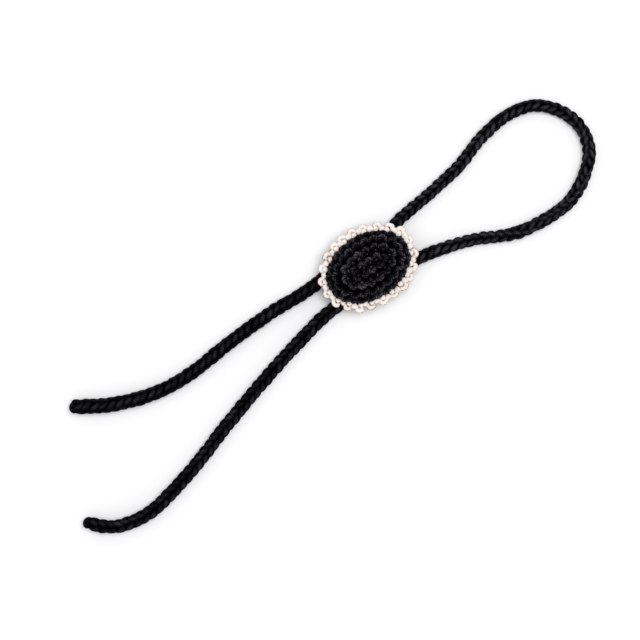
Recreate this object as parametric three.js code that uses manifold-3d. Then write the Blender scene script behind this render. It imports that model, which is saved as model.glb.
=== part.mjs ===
// A handmade bolo tie, lying flat on a surface. An oval slide, a stuffed crochet dome with a picot
// edging, rides on one round crocheted cord that makes the neck loop and ends in two bare tails.
// Millimetres. The origin is on the surface under the middle of the slide. +Y runs along the slide
// towards the neck loop, and +Z points up, out of the slide's face.

import * as THREE from 'three';
import { mergeVertices } from 'three/addons/utils/BufferGeometryUtils.js';
import Module from 'manifold-3d';

// Clearances
const seamGap = 0.3;          // between pieces that are stitched together
const channelPlay = 0.3;      // between the cord and the walls of its channels
const floorPlay = 0.05;       // under the cord where it lies on the surface

// Cord
const cordDiameter = 9.5;
const cordSides = 12;
const cordSteps = 80;
const climbLength = 18;       // over which the cord climbs from the surface to its channel

// Keeper: the plain band with two channels behind the slide
const keeperLength = 20;
const channelSpacing = 24;
const keeperFloor = 1.2;      // under the cord
const keeperWall = 1.4;       // beside the cord
const keeperPlate = 1.2;      // over the cord, against the back
const keeperTab = 2.6;        // stitched margin outside each channel
const keeperRound = 4;        // lower corners of a channel

// Back: the flat oval that closes the dome
const backThickness = 2.4;
const backEdgeRound = 0.8;

// Dome, measured over its rounds of crochet
const domeWidth = 48;
const domeLength = 65.5;
const domeRise = 15;          // from the widest line to the top
const domeUnder = 3;          // from the widest line down to the back
const domeTuck = 2;           // how far the rim turns in below the widest line
const domeRounds = 5;
const roundRelief = 0.9;      // how far each round stands out of its grooves

// Edging, measured from the widest line of the dome
const edgingValley = 2.6;     // reach between two picots
const edgingPicot = 4.8;      // reach at a picot
const edgingEndReach = 1.4;   // what the picots at the two ends reach further
const edgingThickness = 4.4;
const picotCount = 22;
const valleyThickness = 0.72; // share of the thickness that is left between two picots

// Meshing
const ovalSides = 64;
const stepsPerRound = 5;
const rimSteps = 4;
const stepsPerPicot = 6;
const edgingSides = 8;
const channelSides = 24;

// Heights, from the surface up
const cordRadius = cordDiameter / 2;
const channelRadius = cordRadius + channelPlay;
const channelHeight = keeperFloor + channelRadius;
const plateHeight = keeperFloor + 2 * channelRadius;
const backHeight = plateHeight + keeperPlate + seamGap;
const domeHeight = backHeight + backThickness + seamGap;
const widestHeight = domeHeight + domeUnder;

// The dome's long axis holds the foundation chain, and every round goes on round it
const halfChain = (domeLength - domeWidth) / 2;
const domeReach = domeWidth / 2 - roundRelief;
const backReach = domeWidth / 2 - domeTuck;

// Where the cord lies, seen from above, from the tip of the first tail to the tip of the second.
// The stretches through the slide are straight and follow the channels.
const channelX = channelSpacing / 2;
const mouthY = keeperLength / 2 + 3;
const straightY = mouthY + 8;
const cordRoute = [
  [-29, -235], [-15, -209], [-6, -179], [-4, -152], [-8, -113], [-10, -75], [-9.5, -45],
  [-channelX, -straightY], [-channelX, -mouthY], [-channelX, mouthY], [-channelX, straightY],
  [-17, 38], [-22, 72], [-27, 97], [-35.5, 121], [-39, 146], [-34, 167], [-19, 181],
  [-1.5, 186], [15, 182], [28.5, 169], [38, 152], [40, 128], [36, 102], [25, 78], [17.5, 53],
  [channelX, straightY], [channelX, mouthY], [channelX, -mouthY], [channelX, -straightY],
  [12.5, -42], [21, -80], [31, -115], [42, -149], [53.5, -181], [62.5, -213], [65.5, -233],
  [62.5, -252], [56, -264], [47.5, -272],
];

const wasm = await Module();
wasm.setup();

function toSolid(geometry) {
  const bare = geometry.clone();
  bare.deleteAttribute('normal');
  bare.deleteAttribute('uv');
  const merged = mergeVertices(bare, 1e-4);
  return new wasm.Manifold(new wasm.Mesh({
    numProp: 3,
    vertProperties: new Float32Array(merged.attributes.position.array),
    triVerts: new Uint32Array(merged.index.array),
  }));
}

function toGeometry(solid) {
  const cut = solid.getMesh();
  return fromTriangles(cut.vertProperties, cut.triVerts);
}

function fromTriangles(positions, corners) {
  const geometry = new THREE.BufferGeometry();
  geometry.setAttribute('position', new THREE.BufferAttribute(new Float32Array(positions), 3));
  geometry.setIndex(new THREE.BufferAttribute(new Uint32Array(corners), 1));
  geometry.computeVertexNormals();
  return geometry;
}

// A point on the oval that goes round the foundation chain at this reach. Turn 0 is the +Y end.
function ovalPoint(reach, turn, height) {
  return [reach * Math.sin(turn), (reach + halfChain) * Math.cos(turn), height];
}

// A closed oval body from a profile that runs from its top centre to its bottom centre.
// Each row of the profile, a reach and a height, is one ring.
function ovalSolid(profile) {
  const positions = [];
  const corners = [];
  for (const { reach, height } of profile) {
    for (let side = 0; side < ovalSides; side += 1) {
      positions.push(...ovalPoint(reach, (2 * Math.PI * side) / ovalSides, height));
    }
  }
  const corner = (ring, side) => ring * ovalSides + (side % ovalSides);
  const lastRing = profile.length - 1;
  const topCentre = profile.length * ovalSides;
  const bottomCentre = topCentre + 1;
  positions.push(0, 0, profile[0].height, 0, 0, profile[lastRing].height);
  for (let side = 0; side < ovalSides; side += 1) {
    corners.push(topCentre, corner(0, side + 1), corner(0, side));
    corners.push(bottomCentre, corner(lastRing, side), corner(lastRing, side + 1));
    for (let ring = 0; ring < lastRing; ring += 1) {
      corners.push(corner(ring, side), corner(ring, side + 1), corner(ring + 1, side));
      corners.push(corner(ring, side + 1), corner(ring + 1, side + 1), corner(ring + 1, side));
    }
  }
  return fromTriangles(positions, corners);
}

// The dome's side view: plump rounds up to the widest line, then a rim that turns in to the back.
// With grow it is the same body swollen by that much, as a clearance for what sits against it.
function domeProfile(grow = 0) {
  const profile = [];
  const upperSteps = domeRounds * stepsPerRound;
  for (let step = 0; step <= upperSteps; step += 1) {
    const slope = (Math.PI / 2) * (Math.max(step, 0.1) / upperSteps);
    const plump = Math.abs(Math.sin((Math.PI * step) / stepsPerRound)) ** 0.7;
    const out = roundRelief * (step === upperSteps ? 1 : plump) + grow;
    profile.push({
      reach: (domeReach + out) * Math.sin(slope),
      height: widestHeight + (domeRise - roundRelief + out) * Math.cos(slope),
    });
  }
  for (let step = 1; step <= rimSteps; step += 1) {
    const slope = (Math.PI / 2) * (step / rimSteps);
    profile.push({
      reach: domeWidth / 2 + grow - domeTuck * (1 - Math.cos(slope)),
      height: widestHeight - (domeUnder + grow) * Math.sin(slope),
    });
  }
  return profile;
}

function dome() {
  return ovalSolid(domeProfile());
}

function back() {
  const top = backHeight + backThickness;
  return ovalSolid([
    { reach: backReach - backEdgeRound, height: top },
    { reach: backReach, height: top - backEdgeRound },
    { reach: backReach, height: backHeight + backEdgeRound },
    { reach: backReach - backEdgeRound, height: backHeight },
  ]);
}

// Turns that part the oval's outline at this reach into equal lengths
function evenTurns(count, reach) {
  const fine = 1440;
  const lengths = [0];
  for (let step = 1; step <= fine; step += 1) {
    const turn = (2 * Math.PI * (step - 0.5)) / fine;
    lengths.push(lengths[step - 1] + Math.hypot(reach * Math.cos(turn), (reach + halfChain) * Math.sin(turn)));
  }
  const turns = [];
  let step = 0;
  for (let part = 0; part < count; part += 1) {
    const wanted = (lengths[fine] * part) / count;
    while (lengths[step + 1] < wanted) step += 1;
    const share = (wanted - lengths[step]) / (lengths[step + 1] - lengths[step]);
    turns.push((2 * Math.PI * (step + share)) / fine);
  }
  return turns;
}

// A plump scalloped ring round the seam of dome and back, with one picot at each end of the slide
function edging() {
  const inner = backReach + seamGap;
  const middle = domeHeight - seamGap / 2;
  const turns = evenTurns(picotCount * stepsPerPicot, domeWidth / 2 + edgingValley);
  const positions = [];
  const corners = [];
  turns.forEach((turn, step) => {
    const lobe = Math.abs(Math.cos((Math.PI * step) / stepsPerPicot)) ** 0.6;
    const end = edgingEndReach * Math.cos(turn) ** 4;
    const outer = domeWidth / 2 + edgingValley + (edgingPicot - edgingValley + end) * lobe;
    const halfThickness = (edgingThickness / 2) * (valleyThickness + (1 - valleyThickness) * lobe);
    for (let side = 0; side < edgingSides; side += 1) {
      const angle = (2 * Math.PI * (side + 0.5)) / edgingSides;
      const reach = (inner + outer) / 2 + ((outer - inner) / 2) * (Math.cos(angle) / Math.cos(Math.PI / edgingSides));
      positions.push(...ovalPoint(reach, turn, middle + halfThickness * Math.sin(angle)));
    }
    const next = (step + 1) % turns.length;
    for (let side = 0; side < edgingSides; side += 1) {
      const up = (side + 1) % edgingSides;
      corners.push(step * edgingSides + side, step * edgingSides + up, next * edgingSides + up);
      corners.push(step * edgingSides + side, next * edgingSides + up, next * edgingSides + side);
    }
  });
  const ring = toSolid(fromTriangles(positions, corners));
  return toGeometry(ring.subtract(toSolid(ovalSolid(domeProfile(seamGap)))));
}

// A flat plate on the back with a channel for each stretch of cord, all one band
function keeper() {
  const half = channelRadius + keeperWall;
  const outside = channelX + half;
  const inside = channelX - half;
  const top = plateHeight + keeperPlate;
  const outline = new THREE.Shape();
  outline.moveTo(-outside - keeperTab, top);
  outline.lineTo(-outside - keeperTab, plateHeight);
  outline.lineTo(-outside, plateHeight);
  outline.lineTo(-outside, keeperRound);
  outline.absarc(-outside + keeperRound, keeperRound, keeperRound, Math.PI, 1.5 * Math.PI);
  outline.absarc(-inside - keeperRound, keeperRound, keeperRound, -0.5 * Math.PI, 0);
  outline.lineTo(-inside, plateHeight);
  outline.lineTo(inside, plateHeight);
  outline.lineTo(inside, keeperRound);
  outline.absarc(inside + keeperRound, keeperRound, keeperRound, Math.PI, 1.5 * Math.PI);
  outline.absarc(outside - keeperRound, keeperRound, keeperRound, -0.5 * Math.PI, 0);
  outline.lineTo(outside, plateHeight);
  outline.lineTo(outside + keeperTab, plateHeight);
  outline.lineTo(outside + keeperTab, top);
  outline.closePath();
  for (const x of [-channelX, channelX]) {
    const channel = [];
    for (let side = 0; side < channelSides; side += 1) {
      const angle = (-2 * Math.PI * side) / channelSides;
      channel.push(new THREE.Vector2(x + channelRadius * Math.cos(angle), channelHeight + channelRadius * Math.sin(angle)));
    }
    outline.holes.push(new THREE.Path(channel));
  }
  const band = new THREE.ExtrudeGeometry(outline, { depth: keeperLength, bevelEnabled: false, curveSegments: 6 });
  band.rotateX(Math.PI / 2);
  band.translate(0, keeperLength / 2, 0);
  return band;
}

// The cord's centreline. It lies on the surface and climbs a little to pass through the keeper.
class CordLine extends THREE.Curve {
  constructor(route) {
    super();
    const points = route.map(([x, y]) => new THREE.Vector3(x, y, 0));
    this.plan = new THREE.CatmullRomCurve3(points, false, 'centripetal');
  }

  getPoint(t, target = new THREE.Vector3()) {
    this.plan.getPoint(t, target);
    const lying = cordRadius + floorPlay;
    const climb = THREE.MathUtils.smoothstep(Math.abs(target.y), mouthY, mouthY + climbLength);
    target.z = channelHeight + (lying - channelHeight) * climb;
    return target;
  }
}

function cord() {
  const section = new THREE.Shape();
  for (let side = 0; side < cordSides; side += 1) {
    const angle = (2 * Math.PI * side) / cordSides;
    const x = cordRadius * Math.cos(angle);
    const y = cordRadius * Math.sin(angle);
    if (side === 0) section.moveTo(x, y);
    else section.lineTo(x, y);
  }
  section.closePath();
  return new THREE.ExtrudeGeometry(section, { steps: cordSteps, extrudePath: new CordLine(cordRoute) });
}

const blackYarn = new THREE.MeshStandardMaterial({ color: 0x1a191d, roughness: 0.95, metalness: 0 });
const creamYarn = new THREE.MeshStandardMaterial({ color: 0xe3dad2, roughness: 0.9, metalness: 0 });
const blackBand = new THREE.MeshStandardMaterial({ color: 0x141417, roughness: 0.85, metalness: 0 });

function piece(name, geometry, material) {
  const mesh = new THREE.Mesh(geometry, material);
  mesh.name = name;
  return mesh;
}

const group = new THREE.Group();
group.add(piece('dome', dome(), blackYarn));
group.add(piece('back', back(), blackYarn));
group.add(piece('picot_edging', edging(), creamYarn));
group.add(piece('cord_keeper', keeper(), blackBand));
group.add(piece('cord', cord(), blackYarn));

export default group;
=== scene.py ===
# Crochet bolo tie, laid flat and seen from above
# Each piece is built from yarn: short strands shaped in mesh code, then laid along the cord or
# round the slide by geometry nodes. Everything is in metres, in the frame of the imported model.

import math
import random

import bmesh
import bpy
import numpy as np
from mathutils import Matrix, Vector


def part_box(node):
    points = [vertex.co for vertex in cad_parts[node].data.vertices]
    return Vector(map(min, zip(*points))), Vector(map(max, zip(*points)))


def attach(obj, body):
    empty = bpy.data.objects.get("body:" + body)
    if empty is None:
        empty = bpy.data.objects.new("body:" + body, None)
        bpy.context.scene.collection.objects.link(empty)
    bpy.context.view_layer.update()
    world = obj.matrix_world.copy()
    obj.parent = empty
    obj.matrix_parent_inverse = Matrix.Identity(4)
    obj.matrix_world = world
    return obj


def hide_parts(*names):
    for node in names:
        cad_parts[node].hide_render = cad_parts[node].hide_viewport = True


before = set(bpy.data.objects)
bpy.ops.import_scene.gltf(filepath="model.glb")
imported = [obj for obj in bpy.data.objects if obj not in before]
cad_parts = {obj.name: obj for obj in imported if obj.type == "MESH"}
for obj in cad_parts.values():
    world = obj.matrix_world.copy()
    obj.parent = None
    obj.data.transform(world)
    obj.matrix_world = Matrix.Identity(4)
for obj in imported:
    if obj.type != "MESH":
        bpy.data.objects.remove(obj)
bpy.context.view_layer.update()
mm = 0.001
print("frame loaded:", ", ".join(sorted(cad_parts)))


def newObject(name, data):
    # A new object in the scene
    made = bpy.data.objects.new(name, data)
    bpy.context.scene.collection.objects.link(made)
    return made


def newMaterial(name, **finish):
    # A material, with what is the same all over it set on the shader's own sockets
    material = bpy.data.materials.new(name)
    material.use_nodes = True
    shader = material.node_tree.nodes["Principled BSDF"]
    for socket, value in finish.items():
        shader.inputs[socket.replace("_", " ")].default_value = value
    return material, shader


# Camera and light

photo = {
    "pixels": 640,
    "pixelSize": 0.73 * mm,          # what one pixel of the photograph spans on the table
    "slidePixel": (367.7, 267.6),    # where the middle of the slide shows
    "slideTurn": 32.5,               # degrees from the picture's right to the slide's long axis
    "sharpHeight": 5 * mm,           # height of the cord, where the scale holds
    "cameraHeight": 1.1,             # from there up
    "sensorWidth": 36,
    "clipStart": 0.05,
    "clipEnd": 20,
}


def makeCamera():
    turn = math.radians(90 - photo["slideTurn"])
    right = Vector((math.cos(turn), math.sin(turn), 0))
    up = Vector((-math.sin(turn), math.cos(turn), 0))
    middle = photo["pixels"] / 2
    across = (middle - photo["slidePixel"][0]) * photo["pixelSize"]
    along = (photo["slidePixel"][1] - middle) * photo["pixelSize"]
    span = photo["pixels"] * photo["pixelSize"]
    data = bpy.data.cameras.new("camera")
    data.sensor_width = photo["sensorWidth"]
    data.lens = data.sensor_width * photo["cameraHeight"] / span
    data.clip_start = photo["clipStart"]
    data.clip_end = photo["clipEnd"]
    camera = newObject("camera", data)
    camera.location = right * across + up * along
    camera.location.z = photo["sharpHeight"] + photo["cameraHeight"]
    camera.rotation_euler = (0, 0, turn)
    bpy.context.scene.camera = camera
    return right, up


studio = {
    "worldColour": (1, 1, 1),
    "worldStrength": 0.7,          # even white light from all round
    "floorColour": (0.86, 0.86, 0.87),
    "floorRoughness": 0.9,
    "floorSize": 6.0,
    # side and up are directions in the picture, in metres from the middle of it
    "lights": [
        {"name": "overheadSoftbox", "side": 0.2, "up": 0.12, "height": 1.25, "size": 0.75, "watts": 9.4},
        {"name": "leftSoftbox", "side": -0.9, "up": 0.2, "height": 1.3, "size": 0.9, "watts": 1.5},
    ],
}


def makeStudio(right, up):
    scene = bpy.context.scene
    scene.view_settings.view_transform = "Standard"
    scene.view_settings.look = "None"
    scene.world = bpy.data.worlds.new("studio")
    scene.world.use_nodes = True
    background = scene.world.node_tree.nodes["Background"]
    background.inputs["Color"].default_value = (*studio["worldColour"], 1)
    background.inputs["Strength"].default_value = studio["worldStrength"]
    target = scene.camera.location.copy()
    target.z = 0
    for light in studio["lights"]:
        data = bpy.data.lights.new(light["name"], "AREA")
        data.shape = "DISK"
        data.size = light["size"]
        data.energy = light["watts"]
        lamp = newObject(light["name"], data)
        lamp.location = target + right * light["side"] + up * light["up"]
        lamp.location.z = light["height"]
        lamp.rotation_euler = (target - lamp.location).to_track_quat("-Z", "Y").to_euler()
    half = studio["floorSize"] / 2
    corners = [(-half, -half, 0), (half, -half, 0), (half, half, 0), (-half, half, 0)]
    mesh = bpy.data.meshes.new("floor")
    mesh.from_pydata(corners, [], [(0, 1, 2, 3)])
    material, _ = newMaterial("floor", Base_Color=(*studio["floorColour"], 1),
                              Roughness=studio["floorRoughness"])
    mesh.materials.append(material)
    newObject("floor", mesh)


right, up = makeCamera()
makeStudio(right, up)
print("camera and studio made")

# Nodes, for materials and for geometry


def feed(tree, socket, value):
    # Another node's output is linked to the socket, and a plain value is set on it
    if isinstance(value, bpy.types.NodeSocket):
        tree.links.new(value, socket)
    else:
        socket.default_value = value


def addNode(tree, kind, settings=None, **sockets):
    node = tree.nodes.new(kind)
    for name, value in (settings or {}).items():
        setattr(node, name, value)
    for name, value in sockets.items():
        wanted = name.replace("_", " ")
        feed(tree, next(s for s in node.inputs if s.name == wanted and s.enabled), value)
    return node


def maths(tree, operation, first, second=0.0):
    node = addNode(tree, "ShaderNodeMath", {"operation": operation})
    feed(tree, node.inputs[0], first)
    feed(tree, node.inputs[1], second)
    return node.outputs[0]


def noise(tree, place, scale, detail):
    return addNode(tree, "ShaderNodeTexNoise", Vector=place, Scale=scale, Detail=detail).outputs["Fac"]


def attribute(tree, name):
    return addNode(tree, "ShaderNodeAttribute", {"attribute_name": name}).outputs["Fac"]


def colourRamp(tree, amount, colours):
    # The colours stand at places from 0 to 1
    ramp = tree.nodes.new("ShaderNodeValToRGB")
    stops = ramp.color_ramp.elements
    while len(stops) < len(colours):
        stops.new(0.5)
    for stop, (place, colour) in zip(stops, colours):
        stop.position = place
        stop.color = (*colour, 1)
    feed(tree, ramp.inputs["Fac"], amount)
    return ramp.outputs["Color"]


# Yarn finishes

blackYarn = {
    # from the painted shade of the crevices to the lit crest of a strand
    "colours": [
        (0.0, (0.0001, 0.0001, 0.0001)),
        (0.36, (0.0005, 0.0004, 0.0006)),
        (0.52, (0.0025, 0.0022, 0.003)),
        (0.63, (0.0098, 0.0089, 0.0118)),
        (0.74, (0.031, 0.0284, 0.036)),
        (0.9, (0.079, 0.0735, 0.0895)),
    ],
    "roughness": 0.6,
    "specular": 0.01,
    "sheen": 0.003,
    "sheenTint": (0.86, 0.84, 1.0),
    "plies": 4,
    "plySpacing": 1.5 * mm,
    "plyDepth": 0.4 * mm,
    # how much painted shade the grooves between the plies get
    "plyShade": 0.34,
    "fibreDepth": 0.2 * mm,
}
# The cord's yarn: its ramp also runs from the painted shade of the crevices to the lit crest
cordYarn = dict(blackYarn, plyShade=0.33, plyDepth=0.3 * mm, colours=[
    (0.0, (0.0001, 0.0001, 0.0002)),
    (0.36, (0.0009, 0.0008, 0.0012)),
    (0.5, (0.0038, 0.0035, 0.0046)),
    (0.7, (0.0105, 0.01, 0.0124)),
    (0.95, (0.052, 0.0495, 0.0595)),
])
creamYarn = {
    # from the painted shade of the creases, in brown, to the lit crest of a strand
    "colours": [
        (0.0, (0.1, 0.038, 0.018)),
        (0.36, (0.34, 0.215, 0.15)),
        (0.52, (0.79, 0.715, 0.665)),
        (1.0, (0.93, 0.895, 0.87)),
    ],
    "roughness": 0.8,
    "specular": 0.2,
    "sheen": 0.08,
    "sheenTint": (1.0, 0.97, 0.94),
    "plies": 4,
    "plySpacing": 1.8 * mm,
    "plyDepth": 0.22 * mm,
    # how much painted shade the grooves between the plies get
    "plyShade": 0.16,
    "fibreDepth": 0.1 * mm,
}
# What the three yarns have in common
yarn = {
    "sheenRoughness": 0.4,
    "fibresAcross": 1.1,       # noise across a strand, for each turn of its plies
    "fibresAlong": 260.0,      # and along it, for each metre
    "fibreDetail": 3.0,
    "fibreStrength": 0.8,
    "fuzzScale": 1500.0,
    "fuzzDetail": 3.0,
    "patchScale": 160.0,
    "patchDetail": 2.0,
    # how far each of these moves the colour along the ramp
    # crestLightShade carries the painted shade of a strand's flanks and tucked ends
    "crestLightShade": 0.6,
    "fibreShade": 0.36,
    "fuzzShade": 0.26,
    "patchShade": 0.2,
    "toneShade": 0.16,
    # and what is taken off their sum: this, with a share of the plies' shade
    "base": 0.385,
    "plyBase": 0.6,
}


def yarnMaterial(name, look):
    material, shader = newMaterial(
        name, Roughness=look["roughness"], Specular_IOR_Level=look["specular"],
        Sheen_Weight=look["sheen"], Sheen_Roughness=yarn["sheenRoughness"],
        Sheen_Tint=(*look["sheenTint"], 1))
    tree = material.node_tree

    # Along the strand in metres, and round it in turns from its side
    strand = addNode(tree, "ShaderNodeUVMap", {"uv_map": "strand"})
    along, turn, _ = addNode(tree, "ShaderNodeSeparateXYZ", Vector=strand.outputs["UV"]).outputs
    alongPlies = maths(tree, "DIVIDE", along, look["plySpacing"])
    roundPlies = maths(tree, "MULTIPLY", turn, float(look["plies"]))
    phase = maths(tree, "MULTIPLY", maths(tree, "ADD", alongPlies, roundPlies), math.pi)
    plump = maths(tree, "ABSOLUTE", maths(tree, "SINE", phase))
    # Fibres run along the plies
    flow = addNode(tree, "ShaderNodeCombineXYZ", X=maths(tree, "MULTIPLY", phase, yarn["fibresAcross"]),
                   Y=maths(tree, "MULTIPLY", along, yarn["fibresAlong"]))
    fibres = noise(tree, flow.outputs[0], 1.0, yarn["fibreDetail"])
    place = tree.nodes.new("ShaderNodeTexCoord").outputs["Object"]
    fuzz = noise(tree, place, yarn["fuzzScale"], yarn["fuzzDetail"])
    patches = noise(tree, place, yarn["patchScale"], yarn["patchDetail"])
    # Painted shade: the crest of a strand is light, and its flanks, its tucked ends and the grooves between
    # its plies are painted dark
    mixed = maths(tree, "MULTIPLY", attribute(tree, "crestLight"), yarn["crestLightShade"])
    shades = [(plump, look["plyShade"]), (fibres, yarn["fibreShade"]), (fuzz, yarn["fuzzShade"]),
              (patches, yarn["patchShade"]), (attribute(tree, "tone"), yarn["toneShade"])]
    for part, shade in shades:
        mixed = maths(tree, "ADD", mixed, maths(tree, "MULTIPLY", part, shade))
    mixed = maths(tree, "SUBTRACT", mixed, yarn["base"] + look["plyShade"] * yarn["plyBase"])
    feed(tree, shader.inputs["Base Color"], colourRamp(tree, mixed, look["colours"]))

    plyBump = addNode(tree, "ShaderNodeBump", Height=plump, Strength=1.0, Distance=look["plyDepth"])
    fibreBump = addNode(tree, "ShaderNodeBump", Height=fibres, Strength=yarn["fibreStrength"],
                        Distance=look["fibreDepth"], Normal=plyBump.outputs["Normal"])
    feed(tree, shader.inputs["Normal"], fibreBump.outputs["Normal"])
    return material


materials = {
    "black": yarnMaterial("blackYarn", blackYarn),
    "cord": yarnMaterial("cordYarn", cordYarn),
    "cream": yarnMaterial("creamYarn", creamYarn),
}
print("yarn finishes made")

# Strands of yarn

# Painted shade on every strand: its flanks and thin ends are painted darker than its crest
strandShape = {
    "taper": 0.72,       # how much of its thickness a strand loses at its two ends
    "thinnest": 0.1,     # and what it keeps at least
    "flankLight": 0.5,    # the painted crest light at its flanks, where the crest has 1, before it goes to this power; less is more painted shade
    "flankPower": 1.6,
    "endShade": 0.5,     # how much painted shade it gets as it thins towards its ends
}


def smoothLine(points, steps):
    # Centripetal Catmull-Rom through the points, evenly stepped in its own parameter.
    # The two tiny numbers keep the last step on the last leg and a gap from being nothing.
    points = [Vector(p) for p in points]
    ends = [points[0] * 2 - points[1], *points, points[-1] * 2 - points[-2]]
    line = []
    count = len(points) - 1
    for step in range(steps + 1):
        place = min(step / steps * count, count - 1e-9)
        leg = int(place)
        share = place - leg
        p0, p1, p2, p3 = ends[leg:leg + 4]
        gap0, gap1, gap2 = (max((b - a).length ** 0.5, 1e-6) for a, b in ((p0, p1), (p1, p2), (p2, p3)))
        slope1 = ((p1 - p0) / gap0 - (p2 - p0) / (gap0 + gap1) + (p2 - p1) / gap1) * gap1
        slope2 = ((p2 - p1) / gap1 - (p3 - p1) / (gap1 + gap2) + (p3 - p2) / gap2) * gap1
        a = p1 * 2 - p2 * 2 + slope1 + slope2
        b = p2 * 3 - p1 * 3 - slope1 * 2 - slope2
        line.append(((a * share + b) * share + slope1) * share + p1)
    return line


def newBuild():
    # An empty build, with the map and the painted crest light that the yarn finishes read
    build = bmesh.new()
    return build, build.loops.layers.uv.new("strand"), build.verts.layers.float.new("crestLight")


def addFace(build, uvLayer, corners, spots):
    face = build.faces.new(corners)
    for loop, spot in zip(face.loops, spots):
        loop[uvLayer].uv = spot


def finishBuild(name, build):
    # A smooth mesh with its faces outwards
    bmesh.ops.recalc_face_normals(build, faces=build.faces)
    for face in build.faces:
        face.smooth = True
    mesh = bpy.data.meshes.new(name)
    build.to_mesh(mesh)
    build.free()
    return mesh


def addStrand(build, uvLayer, crestLightLayer, points, radius, steps, sides, blunt, flat=1.0, out=(0, 0, 1)):
    # A plump piece of yarn along a smooth line, thinner towards its two closed ends.
    # The higher blunt is, the sooner it thins, and flat squashes it along out.
    line = smoothLine(points, steps)
    out = Vector(out).normalized()
    lengths = [0.0]
    for a, b in zip(line, line[1:]):
        lengths.append(lengths[-1] + (b - a).length)
    rings = []
    for index, place in enumerate(line):
        ahead = line[min(index + 1, steps)] - line[max(index - 1, 0)]
        ahead.normalize()
        side = ahead.cross(out).normalized()
        high = side.cross(ahead).normalized()
        share = index / steps * 2 - 1
        swell = max(1 - abs(share) ** (1 / blunt) * strandShape["taper"], strandShape["thinnest"])
        light = max(swell * (1 + strandShape["endShade"]) - strandShape["endShade"], 0)
        ring = []
        for corner in range(sides):
            angle = 2 * math.pi * corner / sides
            reach = radius * swell
            vertex = build.verts.new(place + side * (math.cos(angle) * reach)
                                     + high * (math.sin(angle) * reach * flat))
            # Painted shade: the flanks and the thinning ends get less crest light
            crest = strandShape["flankLight"] + (1 - strandShape["flankLight"]) * abs(math.sin(angle))
            vertex[crestLightLayer] = crest ** strandShape["flankPower"] * light
            ring.append(vertex)
        rings.append(ring)
    for index, (ring, nextRing) in enumerate(zip(rings, rings[1:])):
        near, far = lengths[index:index + 2]
        for corner in range(sides):
            after = (corner + 1) % sides
            turn, nextTurn = corner / sides, (corner + 1) / sides
            addFace(build, uvLayer, (ring[corner], nextRing[corner], nextRing[after], ring[after]),
                    ((near, turn), (far, turn), (far, nextTurn), (near, nextTurn)))
    for index, order in ((0, 1), (-1, -1)):
        tip = build.verts.new(line[index])
        for corner in range(sides):
            pair = (rings[index][corner], rings[index][(corner + 1) % sides])
            addFace(build, uvLayer, (tip, *pair[::order]), [(lengths[index], corner / sides)] * 3)


def makeStitch(name, strands, collection):
    build, uvLayer, crestLightLayer = newBuild()
    for strand in strands:
        addStrand(build, uvLayer, crestLightLayer, **strand)
    stitch = bpy.data.objects.new(name, finishBuild(name, build))
    collection.objects.link(stitch)
    return stitch


def looseStrand(points, radius, shaker, amount, **shape):
    # A strand through points in millimetres, each a little off its place
    moved = [tuple((value + shaker.uniform(-amount, amount)) * mm for value in point) for point in points]
    return dict(shape, points=moved, radius=radius * mm)


# Geometry node trees

# Added to a tree's seed, so that its random values don't go together
randomKeys = {"slack": 1, "turn": 3, "size": 5, "tone": 7, "shift": 9}


def newTree(name, inputs):
    # A tree from geometry to geometry, with these named inputs
    tree = bpy.data.node_groups.new(name, "GeometryNodeTree")
    tree.interface.new_socket("Geometry", in_out="OUTPUT", socket_type="NodeSocketGeometry")
    tree.interface.new_socket("Geometry", in_out="INPUT", socket_type="NodeSocketGeometry")
    for label, kind in inputs.items():
        tree.interface.new_socket(label, in_out="INPUT", socket_type="NodeSocket" + kind)
    return tree, tree.nodes.new("NodeGroupInput").outputs, tree.nodes.new("NodeGroupOutput").inputs


def vectorMaths(tree, operation, first, second):
    node = addNode(tree, "ShaderNodeVectorMath", {"operation": operation})
    feed(tree, node.inputs[0], first)
    feed(tree, node.inputs[1], second)
    return node.outputs["Vector"]


def scaled(tree, vector, scale):
    node = addNode(tree, "ShaderNodeVectorMath", {"operation": "SCALE"}, Scale=scale)
    feed(tree, node.inputs[0], vector)
    return node.outputs["Vector"]


def randomValue(tree, kind, low, high, inputs, key):
    seed = maths(tree, "ADD", inputs["Seed"], float(randomKeys[key]))
    node = addNode(tree, "FunctionNodeRandomValue", {"data_type": kind}, Min=low, Max=high, Seed=seed)
    return next(s for s in node.outputs if s.enabled)


def joinGeometry(tree, parts, target):
    joined = tree.nodes.new("GeometryNodeJoinGeometry")
    for part in parts:
        feed(tree, joined.inputs[0], part)
    feed(tree, target, joined.outputs[0])


def instanceStitches(tree, points, inputs, facing, along, scale):
    # A stitch picked for each point, turned to face out and then a little more at random
    turn = addNode(tree, "FunctionNodeAxesToRotation", {"primary_axis": "Z", "secondary_axis": "X"},
                   Primary_Axis=facing, Secondary_Axis=along)
    most = scaled(tree, (1, 1, 1), inputs["Jitter"])
    least = scaled(tree, (-1, -1, -1), inputs["Jitter"])
    loose = addNode(tree, "FunctionNodeEulerToRotation",
                    Euler=randomValue(tree, "FLOAT_VECTOR", least, most, inputs, "turn"))
    turned = addNode(tree, "FunctionNodeRotateRotation", {"rotation_space": "LOCAL"},
                     Rotation=turn.outputs[0], Rotate_By=loose.outputs[0])
    stitches = addNode(tree, "GeometryNodeCollectionInfo", Collection=inputs["Stitches"],
                       Separate_Children=True, Reset_Children=True)
    return addNode(tree, "GeometryNodeInstanceOnPoints", Points=points, Instance=stitches.outputs[0],
                   Pick_Instance=True, Rotation=turned.outputs[0], Scale=scale)


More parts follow.
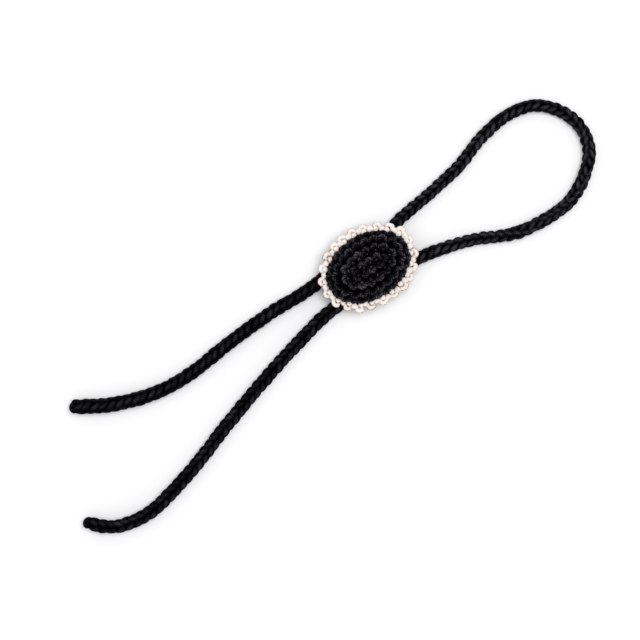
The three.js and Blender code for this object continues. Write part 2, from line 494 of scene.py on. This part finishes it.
def finishStitches(tree, laid, inputs, lightShift):
    # Each instance gets a tone of its own, plus the light shift, which carries painted light and shade, and
    # all are realized in the yarn's finish
    tone = maths(tree, "ADD", randomValue(tree, "FLOAT", 0.0, 1.0, inputs, "tone"), lightShift)
    toned = addNode(tree, "GeometryNodeStoreNamedAttribute", {"data_type": "FLOAT", "domain": "INSTANCE"},
                    Geometry=laid, Name="tone", Value=tone)
    real = addNode(tree, "GeometryNodeRealizeInstances", Geometry=toned.outputs[0])
    finished = addNode(tree, "GeometryNodeSetMaterial", Geometry=real.outputs[0],
                       Material=inputs["Material"])
    return finished.outputs[0]


def useTree(host, tree, values):
    # The values go to the inputs of these names, which a modifier knows by identifier
    modifier = host.modifiers.new(tree.name, "NODES")
    modifier.node_group = tree
    for item in tree.interface.items_tree:
        if item.item_type == "SOCKET" and item.in_out == "INPUT" and item.name in values:
            modifier[item.identifier] = values[item.name]


def hostMesh(name, build, material):
    # The ground that a tree lays its stitches on
    mesh = finishBuild(name, build)
    mesh.materials.append(material)
    return newObject(name, mesh)


def plainPiece(host, name):
    # The evaluated host as a plain mesh in an object of its own
    bpy.context.view_layer.update()
    graph = bpy.context.evaluated_depsgraph_get()
    mesh = bpy.data.meshes.new_from_object(host.evaluated_get(graph))
    mesh.name = name
    host.modifiers.clear()
    bpy.data.objects.remove(host)
    return newObject(name, mesh)


def joinTo(piece, parts, material):
    # The parts become one mesh with the piece
    for part in parts:
        part.data.materials.append(material)
        bpy.context.scene.collection.objects.link(part)
    bpy.context.view_layer.update()
    with bpy.context.temp_override(active_object=piece, object=piece,
                                   selected_editable_objects=[piece, *parts]):
        bpy.ops.object.join()


# Cord

cord = {
    "diameter": 9.5 * mm,
    "floorPlay": 0.05 * mm,
    "channelX": 12 * mm,
    "channelHeight": 6.25 * mm,
    "mouthY": 13 * mm,
    "straightY": 21 * mm,
    "climbLength": 18 * mm,
    "routeSteps": 24,      # between two points of the route, before the line is evened out
    "lineStep": 2 * mm,
    "pitch": 6.1 * mm,
    "columns": 6,
    "bunching": 0.22,      # how much further apart the columns are on one side than on the other
    "spread": 0.08,        # and how much wider their stitches
    "slack": 0.07,         # how far a stitch may be off its place, as a share of the pitch
    "smallest": (0.93, 0.93, 0.96),
    "largest": (1.07, 1.07, 1.04),
    "jitter": math.radians(5),
    "reach": 5.4 * mm,     # from the cord's middle to the outside of its stitches
    "coreRadius": 3.6 * mm,
    "coreSides": 10,
    "coreRings": 240,
    "loopMiddle": 0.4725,  # the neck loop, as a share of the length
    "loopHalf": 0.2325,
    "loopFade": 0.04,      # and over how much of it the painted light sets in
    # how much lighter the loop is painted: painted light
    "loopWear": 0.72,
    "seed": 11,
}
channelX, mouthY, straightY = (cord[key] / mm for key in ("channelX", "mouthY", "straightY"))
# Seen from above, in millimetres, from the tip of the first tail to the tip of the second
cordRoute = [
    (-29, -235), (-15, -209), (-6, -179), (-4, -152), (-8, -113), (-10, -75), (-9.5, -45),
    (-channelX, -straightY), (-channelX, -mouthY), (-channelX, mouthY), (-channelX, straightY),
    (-17, 38), (-22, 72), (-27, 97), (-35.5, 121), (-39, 146), (-34, 167), (-19, 181),
    (-1.5, 186), (15, 182), (28.5, 169), (38, 152), (40, 128), (36, 102), (25, 78), (17.5, 53),
    (channelX, straightY), (channelX, mouthY), (channelX, -mouthY), (channelX, -straightY),
    (12.5, -42), (21, -80), (31, -115), (42, -149), (53.5, -181), (62.5, -213), (65.5, -233),
    (62.5, -252), (56, -264), (47.5, -272),
]
# How the stitch columns turn and the cord swells along its length, as a share of the length
cordHand = [
    {"share": 0.00, "turn": 0, "swell": 1.14},
    {"share": 0.03, "turn": 0, "swell": 1.11},
    {"share": 0.08, "turn": 0, "swell": 1.04},
    {"share": 0.22, "turn": 0, "swell": 1.00},
    {"share": 0.27, "turn": 30, "swell": 0.92},
    {"share": 0.30, "turn": 40, "swell": 0.92},
    {"share": 0.36, "turn": 40, "swell": 0.94},
    {"share": 0.40, "turn": 10, "swell": 0.96},
    {"share": 0.44, "turn": 20, "swell": 0.95},
    {"share": 0.47, "turn": 60, "swell": 0.96},
    {"share": 0.50, "turn": 120, "swell": 0.98},
    {"share": 0.53, "turn": 180, "swell": 1.00},
    {"share": 0.56, "turn": 200, "swell": 1.00},
    {"share": 0.585, "turn": 290, "swell": 1.00},
    {"share": 0.60, "turn": 320, "swell": 0.94},
    {"share": 0.63, "turn": 325, "swell": 0.96},
    {"share": 0.645, "turn": 355, "swell": 0.98},
    {"share": 0.67, "turn": 360, "swell": 0.98},
    {"share": 0.72, "turn": 325, "swell": 1.02},
    {"share": 1.00, "turn": 318, "swell": 1.04},
]


def cordLine():
    # The route as an even line, which rises from the table to the keeper's channels
    steps = (len(cordRoute) - 1) * cord["routeSteps"]
    plan = smoothLine([(x * mm, y * mm, 0) for x, y in cordRoute], steps)
    lying = cord["diameter"] / 2 + cord["floorPlay"]
    for place in plan:
        share = min(max((abs(place.y) - cord["mouthY"]) / cord["climbLength"], 0), 1)
        climb = share * share * (3 - 2 * share)
        place.z = cord["channelHeight"] + (lying - cord["channelHeight"]) * climb
    lengths = np.concatenate([[0], np.cumsum([(b - a).length for a, b in zip(plan, plan[1:])])])
    count = int(round(lengths[-1] / cord["lineStep"]))
    wanted = np.linspace(0, lengths[-1], count + 1)
    line = np.stack([np.interp(wanted, lengths, [p[axis] for p in plan]) for axis in range(3)], axis=1)
    return line, lengths[-1]


def cordCurve(line):
    data = bpy.data.curves.new("cordLine", "CURVE")
    data.dimensions = "3D"
    data.twist_mode = "Z_UP"
    spline = data.splines.new("POLY")
    spline.points.add(len(line) - 1)
    places = np.linspace(0, 1, len(line))
    shares = [hand["share"] for hand in cordHand]
    turns = np.interp(places, shares, [math.radians(hand["turn"]) for hand in cordHand])
    swells = np.interp(places, shares, [hand["swell"] for hand in cordHand])
    for point, place, turn, swell in zip(spline.points, line, turns, swells):
        # Where it swells it lies a little higher, on its stitches
        height = max(place[2], cord["reach"] * swell)
        point.co = (place[0], place[1], height, 1)
        point.tilt = turn
        point.radius = swell
    return newObject("cordLine", data)


def cordTree():
    # Stitch columns round a core, along the incoming curve. The core has no crest light, so it is painted
    # in full shade
    tree, inputs, outputs = newTree("cordStitches", {
        "Pitch": "Float", "Columns": "Int", "Rows": "Int", "Core Radius": "Float", "Bunching": "Float",
        "Spread": "Float", "Slack": "Float", "Lit Loop Middle": "Float", "Lit Loop Half": "Float",
        "Lit Loop Fade": "Float", "Wear": "Float", "Jitter": "Float", "Stitches": "Collection",
        "Material": "Material", "Seed": "Int",
    })
    total = maths(tree, "MULTIPLY", inputs["Columns"], inputs["Rows"])
    cloud = addNode(tree, "GeometryNodePoints", Count=total)
    index = tree.nodes.new("GeometryNodeInputIndex").outputs[0]
    row = maths(tree, "FLOOR", maths(tree, "DIVIDE", index, inputs["Columns"]))
    column = maths(tree, "MODULO", index, inputs["Columns"])
    # Two columns make a chain of Vs, and the chains start after each other, so they wind round the cord
    chain = maths(tree, "FLOOR", maths(tree, "MULTIPLY", maths(tree, "ADD", column, 1.0), 0.5))
    chains = maths(tree, "MULTIPLY", inputs["Columns"], 0.5)
    row = maths(tree, "ADD", row, maths(tree, "FRACT", maths(tree, "DIVIDE", chain, chains)))
    # Painted light: the neck loop is painted a little lighter than the tails
    share = maths(tree, "DIVIDE", row, inputs["Rows"])
    fromMiddle = maths(tree, "ABSOLUTE", maths(tree, "SUBTRACT", share, inputs["Lit Loop Middle"]))
    inside = maths(tree, "SUBTRACT", inputs["Lit Loop Half"], fromMiddle)
    litLoop = maths(tree, "MAXIMUM", maths(tree, "DIVIDE", inside, inputs["Lit Loop Fade"]), 0.0)
    litLoop = maths(tree, "MULTIPLY", maths(tree, "MINIMUM", litLoop, 1.0), inputs["Wear"])
    # Each point's place along the curve, with a little slack
    least = maths(tree, "MULTIPLY", inputs["Slack"], -1.0)
    slack = randomValue(tree, "FLOAT", least, inputs["Slack"], inputs, "slack")
    middle = maths(tree, "ADD", maths(tree, "ADD", row, 0.5), slack)
    radius = tree.nodes.new("GeometryNodeInputRadius").outputs[0]
    sample = addNode(tree, "GeometryNodeSampleCurve", {"mode": "LENGTH", "use_all_curves": True},
                     Curves=inputs["Geometry"], Value=radius,
                     Length=maths(tree, "MULTIPLY", middle, inputs["Pitch"]))
    # And its turn round it: on one side the columns are further apart, with wider stitches
    turn = maths(tree, "DIVIDE", maths(tree, "MULTIPLY", column, 2 * math.pi), inputs["Columns"])
    wider = maths(tree, "MULTIPLY", maths(tree, "COSINE", turn), inputs["Spread"])
    width = maths(tree, "ADD", wider, 1.0)
    apart = maths(tree, "MULTIPLY", maths(tree, "SINE", turn), inputs["Bunching"])
    turn = maths(tree, "SUBTRACT", maths(tree, "ADD", turn, apart), math.pi / 2)
    tangent, normal = sample.outputs["Tangent"], sample.outputs["Normal"]
    other = vectorMaths(tree, "CROSS_PRODUCT", tangent, normal)
    facing = vectorMaths(tree, "ADD", scaled(tree, normal, maths(tree, "COSINE", turn)),
                         scaled(tree, other, maths(tree, "SINE", turn)))
    # The points keep what they sampled when they move
    keep = tree.nodes.new("GeometryNodeCaptureAttribute")
    sampled = {"Facing": ("VECTOR", facing), "Along": ("VECTOR", tangent),
               "Swell": ("FLOAT", sample.outputs["Value"]), "Width": ("FLOAT", width),
               "Worn": ("FLOAT", litLoop)}
    for name, (kind, _) in sampled.items():
        keep.capture_items.new(kind, name)
    feed(tree, keep.inputs[0], cloud.outputs[0])
    for name, (_, value) in sampled.items():
        feed(tree, keep.inputs[name], value)
    moved = addNode(tree, "GeometryNodeSetPosition", Geometry=keep.outputs[0],
                    Position=sample.outputs["Position"])
    anySize = randomValue(tree, "FLOAT_VECTOR", cord["smallest"], cord["largest"], inputs, "size")
    spread = addNode(tree, "ShaderNodeCombineXYZ", X=1.0, Y=keep.outputs["Width"], Z=1.0)
    size = vectorMaths(tree, "MULTIPLY", scaled(tree, anySize, keep.outputs["Swell"]), spread.outputs[0])
    laid = instanceStitches(tree, moved.outputs[0], inputs, keep.outputs["Facing"], keep.outputs["Along"],
                            size)
    # Neighbouring columns lean to opposite sides
    lean = maths(tree, "MODULO", index, 2.0)
    feed(tree, next(s for s in laid.inputs if s.name == "Instance Index"), lean)
    done = finishStitches(tree, laid.outputs[0], inputs, keep.outputs["Worn"])
    circle = addNode(tree, "GeometryNodeCurvePrimitiveCircle", Resolution=cord["coreSides"],
                     Radius=inputs["Core Radius"])
    coarse = addNode(tree, "GeometryNodeResampleCurve", Curve=inputs["Geometry"], Count=cord["coreRings"])
    core = addNode(tree, "GeometryNodeCurveToMesh", Curve=coarse.outputs[0],
                   Profile_Curve=circle.outputs[0], Fill_Caps=True)
    coreDone = addNode(tree, "GeometryNodeSetMaterial", Geometry=core.outputs[0],
                       Material=inputs["Material"])
    joinGeometry(tree, (coreDone.outputs[0], done), outputs[0])
    return tree


leaf = {
    "length": 9.2 * mm,
    "leans": {"leafOne": 28, "leafTwo": -20},
    "rise": 3.6 * mm,
    "dip": 0.8 * mm,       # how far its ends lie below its crest
    "crest": -0.1,         # where the crest is, from -1 to 1
    "stops": (-1, -0.5, 0, 0.5, 1),
    "strand": {"radius": 1.68 * mm, "steps": 8, "sides": 7, "blunt": 0.36, "flat": 0.95},
}


def cordStitches():
    # One leg of a V, leaning either way. Local Z is out of the cord and local X runs along it.
    collection = bpy.data.collections.new("cordStitches")
    for name, lean in leaf["leans"].items():
        points = []
        for share in leaf["stops"]:
            along = share * leaf["length"] / 2 * math.cos(math.radians(lean))
            aside = share * leaf["length"] / 2 * math.sin(math.radians(lean))
            rise = leaf["rise"] - leaf["dip"] * (share - leaf["crest"]) ** 2
            points.append((along, aside, rise))
        makeStitch(name, [dict(leaf["strand"], points=points)], collection)
    return collection


tip = {
    "strands": 4,
    "firstTurn": 20,       # degrees, and from each strand to the next
    "turnStep": 45,
    "reach": 3.3 * mm,     # how far a strand goes to either side
    "bulge": 3.4 * mm,     # how far its middle stands before its ends
    "depth": 1.9 * mm,     # how far its ends lie inside the cord
    "layer": 0.25 * mm,    # and each strand over the one before
    "stops": (-1, -0.78, -0.4, 0, 0.4, 0.78, 1),
    "radius": 1.6 * mm,
    "strand": {"steps": 14, "sides": 8, "blunt": 0.25},
}


def cordTip(line, swell, name):
    # Strands that cross over the end of the cord and close it. The line starts at that end.
    end = line[0]
    ahead = (Vector(end) - Vector(line[3])).normalized()
    side = ahead.cross(Vector((0, 0, 1))).normalized()
    high = side.cross(ahead).normalized()
    middle = Vector((end[0], end[1], max(end[2], cord["reach"] * swell)))
    strands = []
    for number in range(tip["strands"]):
        angle = math.radians(tip["firstTurn"] + tip["turnStep"] * number)
        across = side * math.cos(angle) + high * math.sin(angle)
        points = []
        for share in tip["stops"]:
            out = math.sin(share * math.pi / 2) * tip["reach"] * swell
            on = math.cos(share * math.pi / 2) * tip["bulge"] - tip["depth"] + tip["layer"] * number
            points.append(middle + across * out + ahead * on)
        strands.append(dict(tip["strand"], points=points, radius=tip["radius"] * swell, out=ahead))
    return makeStitch(name, strands, bpy.data.collections.new(name))


line, cordLength = cordLine()
print(f"cord line: {cordLength / mm:.1f} mm")
cordHost = cordCurve(line)
useTree(cordHost, cordTree(), {
    "Pitch": cord["pitch"], "Columns": cord["columns"], "Rows": int(cordLength / cord["pitch"]),
    "Core Radius": cord["coreRadius"], "Bunching": cord["bunching"], "Spread": cord["spread"],
    "Slack": cord["slack"], "Lit Loop Middle": cord["loopMiddle"], "Lit Loop Half": cord["loopHalf"],
    "Lit Loop Fade": cord["loopFade"], "Wear": cord["loopWear"], "Jitter": cord["jitter"],
    "Stitches": cordStitches(), "Material": materials["cord"], "Seed": cord["seed"],
})
cordPiece = plainPiece(cordHost, "crochetCord")
tips = [cordTip(line, cordHand[0]["swell"], "firstTip"),
        cordTip(line[::-1], cordHand[-1]["swell"], "secondTip")]
joinTo(cordPiece, tips, materials["cord"])
print("cord made:", len(cordPiece.data.polygons), "faces")
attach(cordPiece, "root")
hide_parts("cord")

# Slide

dome = {
    "width": 48 * mm,
    "length": 65.5 * mm,
    "rise": 15 * mm,
    "under": 3 * mm,
    "stitchInset": 2.3 * mm,     # from the outside down to the stitches' own origin
    "groundInset": 3.1 * mm,     # and down to the ground between them
    "groundSlopes": (1, *range(6, 91, 6)),    # degrees from the top, where the ground has a ring
    "underSlopes": (30, 60, 90),              # and below its widest place
    "ovalSides": 96,
    "stitchSize": 6.1 * mm,
    "jitter": math.radians(8),
    "shift": 0.3 * mm,
    "seed": 20,
}
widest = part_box("dome")[0].z + dome["under"]
halfChain = (dome["length"] - dome["width"]) / 2
# One row for each round of crochet: where it lies on the dome, from the top, and its stitches. The light
# shift makes the third and fourth rounds a little lighter, and the outermost round, which turns under, is
# painted darker as painted shade
domeRounds = [
    {"slope": 9, "count": 9, "start": 0.03, "size": 0.95, "straight": 2.6, "lightShift": 0.0, "legged": True},
    {"slope": 27, "count": 14, "start": 0.01, "size": 1.05, "straight": 1.6, "lightShift": 0.05, "legged": True},
    {"slope": 48, "count": 20, "start": 0.00, "size": 1.08, "straight": 0.8, "lightShift": 0.2, "legged": False},
    {"slope": 71, "count": 26, "start": 0.01, "size": 1.05, "straight": 0.3, "lightShift": 0.25, "legged": False},
    {"slope": 95, "count": 30, "start": 0.00, "size": 1.0, "straight": 0.1, "lightShift": -0.3, "legged": True},
]
# The stitches of every round on the slide vary in size between these, and shift less in height
roundShape = {
    "ovalPoints": 360,
    "smallest": (0.94, 0.92, 0.9),
    "largest": (1.06, 1.08, 1.1),
    "shiftShare": (1, 1, 0.5),
}


def roundTree():
    # One round of stitches round the slide's oval, added to what comes in
    tree, inputs, outputs = newTree("crochetRound", {
        "Reach": "Float", "Half Chain": "Float", "Height": "Float", "Slope": "Float", "Straight": "Float",
        "Count": "Int", "Start": "Float", "Size": "Vector", "Jitter": "Float", "Shift": "Float",
        "Wear": "Float", "Stitches": "Collection", "Material": "Material", "Seed": "Int",
    })
    circle = addNode(tree, "GeometryNodeCurvePrimitiveCircle", Resolution=roundShape["ovalPoints"])
    factor = tree.nodes.new("GeometryNodeSplineParameter").outputs["Factor"]
    angle = maths(tree, "MULTIPLY", maths(tree, "ADD", factor, inputs["Start"]), 2 * math.pi)
    across = maths(tree, "MULTIPLY", maths(tree, "SINE", angle), inputs["Reach"])
    cosine = maths(tree, "COSINE", angle)
    along = maths(tree, "MULTIPLY", cosine, inputs["Reach"])
    # The half chain is shared out so that the inner rounds have straight sides
    stretch = maths(tree, "TANH", maths(tree, "MULTIPLY", cosine, inputs["Straight"]))
    stretch = maths(tree, "DIVIDE", stretch, maths(tree, "TANH", inputs["Straight"]))
    along = maths(tree, "ADD", along, maths(tree, "MULTIPLY", stretch, inputs["Half Chain"]))
    spot = addNode(tree, "ShaderNodeCombineXYZ", X=across, Y=along, Z=inputs["Height"])
    oval = addNode(tree, "GeometryNodeSetPosition", Geometry=circle.outputs[0], Position=spot.outputs[0])
    even = addNode(tree, "GeometryNodeResampleCurve", Curve=oval.outputs[0], Count=inputs["Count"])
    # The stitches lean outwards with the slope of the dome
    tangent = tree.nodes.new("GeometryNodeInputTangent").outputs[0]
    outward = vectorMaths(tree, "CROSS_PRODUCT", (0, 0, 1), tangent)
    leaning = scaled(tree, outward, maths(tree, "SINE", inputs["Slope"]))
    rising = scaled(tree, (0, 0, 1), maths(tree, "COSINE", inputs["Slope"]))
    facing = vectorMaths(tree, "ADD", leaning, rising)
    anySize = randomValue(tree, "FLOAT_VECTOR", roundShape["smallest"], roundShape["largest"], inputs,
                          "size")
    size = vectorMaths(tree, "MULTIPLY", inputs["Size"], anySize)
    laid = instanceStitches(tree, even.outputs[0], inputs, facing, tangent, size)
    least = scaled(tree, [-share for share in roundShape["shiftShare"]], inputs["Shift"])
    most = scaled(tree, roundShape["shiftShare"], inputs["Shift"])
    nudge = addNode(tree, "GeometryNodeTranslateInstances", Instances=laid.outputs[0], Local_Space=True,
                    Translation=randomValue(tree, "FLOAT_VECTOR", least, most, inputs, "shift"))
    done = finishStitches(tree, nudge.outputs[0], inputs, inputs["Wear"])
    joinGeometry(tree, (inputs["Geometry"], done), outputs[0])
    return tree


def ovalRing(build, reach, height):
    ring = []
    for side in range(dome["ovalSides"]):
        turn = 2 * math.pi * side / dome["ovalSides"]
        place = (reach * math.sin(turn), (reach + halfChain) * math.cos(turn), height)
        ring.append(build.verts.new(place))
    return ring


def ovalLength(reach):
    # Ramanujan's length of an ellipse
    a, b = reach + halfChain, reach
    return math.pi * (3 * (a + b) - math.sqrt((3 * a + b) * (a + 3 * b)))


def ovalBody(profile):
    # A closed oval body, from the middle of its top to the middle of its underside. It has no crest light,
    # so the yarn finish paints it in full shade between the stitches
    build = bmesh.new()
    build.loops.layers.uv.new("strand")
    rings = [ovalRing(build, reach, height) for reach, height in profile]
    for upper, lower in zip(rings, rings[1:]):
        for side in range(len(upper)):
            after = (side + 1) % len(upper)
            build.faces.new((upper[side], upper[after], lower[after], lower[side]))
    build.faces.new(list(reversed(rings[0])))
    build.faces.new(rings[-1])
    return build


def domePoint(slope, inset):
    # Reach and height on the dome, this many degrees from its top and this far inside it
    angle = math.radians(slope)
    reach = (dome["width"] / 2 - inset) * math.sin(angle)
    return reach, widest + (dome["rise"] - inset) * math.cos(angle)


def domeBody():
    inset = dome["groundInset"]
    profile = [domePoint(slope, inset) for slope in dome["groundSlopes"]]
    for slope in dome["underSlopes"]:
        below = dome["under"] * math.sin(math.radians(slope))
        profile.append((dome["width"] / 2 - inset, widest - below))
    return ovalBody(profile)


# In millimetres: X runs along the round, Y outwards over the dome and Z out of it
domeStitch = {
    "arc": [(-2.5, -2.0, -2.4), (-2.3, -0.5, -0.6), (-1.2, 0.6, 0.8), (0.2, 1.0, 1.2),
            (1.5, 0.6, 0.8), (2.4, -0.5, -0.6), (2.6, -1.9, -2.4)],
    "arcStrand": {"radius": 2.0, "steps": 12, "sides": 9, "blunt": 0.3, "flat": 0.95},
    "leg": [(0.2, 0.2, -0.3), (0.1, -1.0, -0.45), (0.0, -2.2, -0.9), (-0.2, -3.3, -2.0)],
    "legStrand": {"radius": 1.45, "steps": 8, "sides": 7, "blunt": 0.6},
    "variants": 6,
    "loose": 0.36,
    "seed": 5,
}


def domeStitches(name, legged):
    # An arc of yarn, and a leg under it where the rounds leave room for one
    collection = bpy.data.collections.new(name)
    shaker = random.Random(domeStitch["seed"])
    for variant in range(domeStitch["variants"]):
        strands = []
        for part in ("arc", "leg") if legged else ("arc",):
            strands.append(looseStrand(domeStitch[part], shaker=shaker, amount=domeStitch["loose"],
                                       **domeStitch[part + "Strand"]))
        makeStitch(f"{name}{variant}", strands, collection)
    return collection


crochetRound = roundTree()
slideStitches = {True: domeStitches("leggedStitch", True), False: domeStitches("plainStitch", False)}
domeHost = hostMesh("domeGround", domeBody(), materials["black"])
for number, row in enumerate(domeRounds):
    reach, height = domePoint(row["slope"], dome["stitchInset"])
    pitch = ovalLength(reach) / row["count"]
    angle = math.radians(row["slope"])
    useTree(domeHost, crochetRound, {
        "Reach": reach, "Half Chain": halfChain, "Height": height,
        "Slope": math.atan2(math.sin(angle) * dome["width"] / 2, math.cos(angle) * dome["rise"]),
        "Straight": row["straight"], "Count": row["count"], "Start": row["start"],
        "Size": (pitch / dome["stitchSize"], row["size"], row["size"]), "Jitter": dome["jitter"],
        "Shift": dome["shift"], "Wear": row["lightShift"], "Stitches": slideStitches[row["legged"]],
        "Material": materials["black"], "Seed": dome["seed"] + number,
    })
domePiece = plainPiece(domeHost, "crochetDome")
print("dome made:", len(domePiece.data.polygons), "faces")
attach(domePiece, "root")
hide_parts("dome")

# Back of the slide

back = {
    "bottom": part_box("back")[0].z,
    "top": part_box("back")[1].z,
    "reach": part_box("back")[1].x,
    "poleReach": 1 * mm,         # the small faces that close the ground's top and underside
    "faceInset": 1.2 * mm,       # from the outside to the edge of the ground's faces
    "edgeInset": 0.7 * mm,       # and to its rounded edge, this far below its top
    "edgeDrop": 0.5 * mm,
    "groundRise": 0.9 * mm,      # from the underside up to the ground
    "stitchRise": 1.75 * mm,     # and to the stitches' own origin
    "stitchWidth": 0.98,
    "stitchHeight": 0.72,        # they lie flatter than on the dome
    "straight": 0.5,
    "startStep": 0.01,
    "jitter": math.radians(4),
    "shift": 0.15 * mm,
    "seed": 60,
    "rounds": [{"reach": 3.4 * mm, "count": 11}, {"reach": 9.3 * mm, "count": 17},
               {"reach": 15.2 * mm, "count": 23}, {"reach": 19.9 * mm, "count": 28}],
}


def backBody():
    faceReach = back["reach"] - back["faceInset"]
    bottom = back["bottom"] + back["groundRise"]
    return ovalBody([(back["poleReach"], back["top"]), (faceReach, back["top"]),
                     (back["reach"] - back["edgeInset"], back["top"] - back["edgeDrop"]),
                     (faceReach, bottom), (back["poleReach"], bottom)])


backHost = hostMesh("backGround", backBody(), materials["black"])
for number, row in enumerate(back["rounds"]):
    pitch = ovalLength(row["reach"]) / row["count"]
    useTree(backHost, crochetRound, {
        "Reach": row["reach"], "Half Chain": halfChain, "Height": back["bottom"] + back["stitchRise"],
        "Slope": math.pi, "Straight": back["straight"], "Count": row["count"],
        "Start": back["startStep"] * number,
        "Size": (pitch / dome["stitchSize"], back["stitchWidth"], back["stitchHeight"]),
        "Jitter": back["jitter"], "Shift": back["shift"], "Wear": 0.0, "Stitches": slideStitches[True],
        "Material": materials["black"], "Seed": back["seed"] + number,
    })
backPiece = plainPiece(backHost, "crochetBack")
print("back made:", len(backPiece.data.polygons), "faces")
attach(backPiece, "root")
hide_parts("back")

# Edging

edging = {
    "count": 22,
    "reach": dome["width"] / 2,
    "height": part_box("picot_edging")[0].z + 2.0 * mm,
    "straight": 0.05,
    "jitter": math.radians(9),
    "shift": 0.35 * mm,
    "seed": 40,
    "baseRadius": 1.5 * mm,    # the cord that the picots are worked into
    "baseInset": 0.2 * mm,
    "baseFlat": 0.8,
    "baseSides": 8,
    "mapStep": 1.9 * mm,       # how long its map is, for each side of the oval
    "topCrestLight": 0.12,          # painted shade: brown in the creases between the picots
    "underCrestLight": 0.8,         # and cream underneath
}
# In millimetres: X runs along the edge, Y outwards from the dome and Z up.
# Each picot is a hook that curls round a plump lump, with a short neck of two strands beside it.
picot = {
    "strands": [
        {"radius": 1.76, "steps": 15,
         "points": [(1.7, -1.0, 0.5), (2.1, 1.4, 0.5), (1.7, 3.4, 0.5), (0.1, 4.4, 0.5),
                    (-1.7, 3.9, 0.4), (-2.4, 2.3, 0.2), (-2.0, 0.6, -0.2)]},
        {"radius": 2.25, "steps": 8, "points": [(-1.3, -1.3, 0.5), (-0.8, 0.6, 1.6), (-0.2, 2.3, 1.2)]},
        {"radius": 1.85, "steps": 7, "points": [(3.2, -1.3, 0.1), (3.6, 0.9, 1.2), (3.7, 3.3, 0.3)]},
        {"radius": 1.75, "steps": 7, "points": [(5.2, -1.3, 0.0), (4.9, 0.7, 1.1), (4.8, 3.0, 0.2)]},
    ],
    "sides": 9,
    "blunt": 0.28,
    "variants": 6,
    "pull": 0.22,              # how far each one may lean to a side
    "loose": 0.32,
    "seed": 8,
}


def picotStitches():
    collection = bpy.data.collections.new("picotStitches")
    shaker = random.Random(picot["seed"])
    for variant in range(picot["variants"]):
        pull = shaker.uniform(-picot["pull"], picot["pull"])
        strands = []
        for strand in picot["strands"]:
            pulled = [(x + pull * y, y, z) for x, y, z in strand["points"]]
            strands.append(looseStrand(pulled, strand["radius"], shaker, picot["loose"],
                                       steps=strand["steps"], sides=picot["sides"], blunt=picot["blunt"]))
        makeStitch(f"picot{variant}", strands, collection)
    return collection


def edgingGround():
    # A thin cream cord that the picots are worked into, in the seam of dome and back
    build, uvLayer, crestLightLayer = newBuild()
    sides = edging["baseSides"]
    rings = []
    for corner in range(sides):
        angle = 2 * math.pi * corner / sides
        out = edging["baseRadius"] * math.cos(angle) - edging["baseInset"]
        rise = edging["baseRadius"] * edging["baseFlat"] * math.sin(angle)
        ring = ovalRing(build, edging["reach"] + out, edging["height"] + rise)
        for vertex in ring:
            # Painted shade: the top of this cord is painted brown, and its underside stays cream
            vertex[crestLightLayer] = edging["underCrestLight"] if corner > sides / 2 else edging["topCrestLight"]
        rings.append(ring)
    for corner, (first, second) in enumerate(zip(rings, rings[1:] + rings[:1])):
        turn, nextTurn = corner / sides, (corner + 1) / sides
        for side in range(len(first)):
            after = (side + 1) % len(first)
            near, far = side * edging["mapStep"], (side + 1) * edging["mapStep"]
            addFace(build, uvLayer, (first[side], first[after], second[after], second[side]),
                    ((near, turn), (far, turn), (far, nextTurn), (near, nextTurn)))
    return build


edgingHost = hostMesh("edgingGround", edgingGround(), materials["cream"])
useTree(edgingHost, crochetRound, {
    "Reach": edging["reach"], "Half Chain": halfChain, "Height": edging["height"], "Slope": 0.0,
    "Straight": edging["straight"], "Count": edging["count"], "Start": 0.0, "Size": (1.0, 1.0, 1.0),
    "Jitter": edging["jitter"], "Shift": edging["shift"], "Wear": 0.0, "Stitches": picotStitches(),
    "Material": materials["cream"], "Seed": edging["seed"],
})
edgingPiece = plainPiece(edgingHost, "picotEdging")
print("edging made:", len(edgingPiece.data.polygons), "faces")
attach(edgingPiece, "root")
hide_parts("picot_edging")

# Keeper band

band = {
    "threadSpacing": 0.85 * mm,
    "threadDepth": 0.14 * mm,
    "dark": (0.0006, 0.0006, 0.0008),
    "light": (0.0125, 0.012, 0.0145),
    "roughness": 0.75,
    "specular": 0.08,
    "fuzzScale": 1800.0,
    "fuzzDetail": 2.0,
    "fuzzLift": 0.35,
}


def bandMaterial():
    # Plain weave on the object's own coordinates
    material, shader = newMaterial("blackBand", Roughness=band["roughness"],
                                   Specular_IOR_Level=band["specular"])
    tree = material.node_tree
    place = tree.nodes.new("ShaderNodeTexCoord").outputs["Object"]
    across, along, height = addNode(tree, "ShaderNodeSeparateXYZ", Vector=place).outputs
    threads = []
    cells = []
    for length in (across, along):
        turn = maths(tree, "DIVIDE", maths(tree, "ADD", length, height), band["threadSpacing"])
        wave = maths(tree, "SINE", maths(tree, "MULTIPLY", turn, math.pi))
        threads.append(maths(tree, "ABSOLUTE", wave))
        cells.append(maths(tree, "FLOOR", turn))
    warp, weft = threads
    # One thread is on top in every second cell
    odd = maths(tree, "FLOORED_MODULO", maths(tree, "ADD", *cells), 2.0)
    over = maths(tree, "MULTIPLY", warp, odd)
    under = maths(tree, "MULTIPLY", weft, maths(tree, "SUBTRACT", 1.0, odd))
    weave = maths(tree, "ADD", over, under)
    fuzz = maths(tree, "ADD", noise(tree, place, band["fuzzScale"], band["fuzzDetail"]), band["fuzzLift"])
    shade = maths(tree, "MULTIPLY", weave, fuzz)
    colour = colourRamp(tree, shade, [(0.0, band["dark"]), (1.0, band["light"])])
    feed(tree, shader.inputs["Base Color"], colour)
    bump = addNode(tree, "ShaderNodeBump", Height=weave, Strength=1.0, Distance=band["threadDepth"])
    feed(tree, shader.inputs["Normal"], bump.outputs["Normal"])
    return material


bandFinish = bandMaterial()
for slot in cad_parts["cord_keeper"].material_slots:
    slot.material = bandFinish
print("keeper band finished")
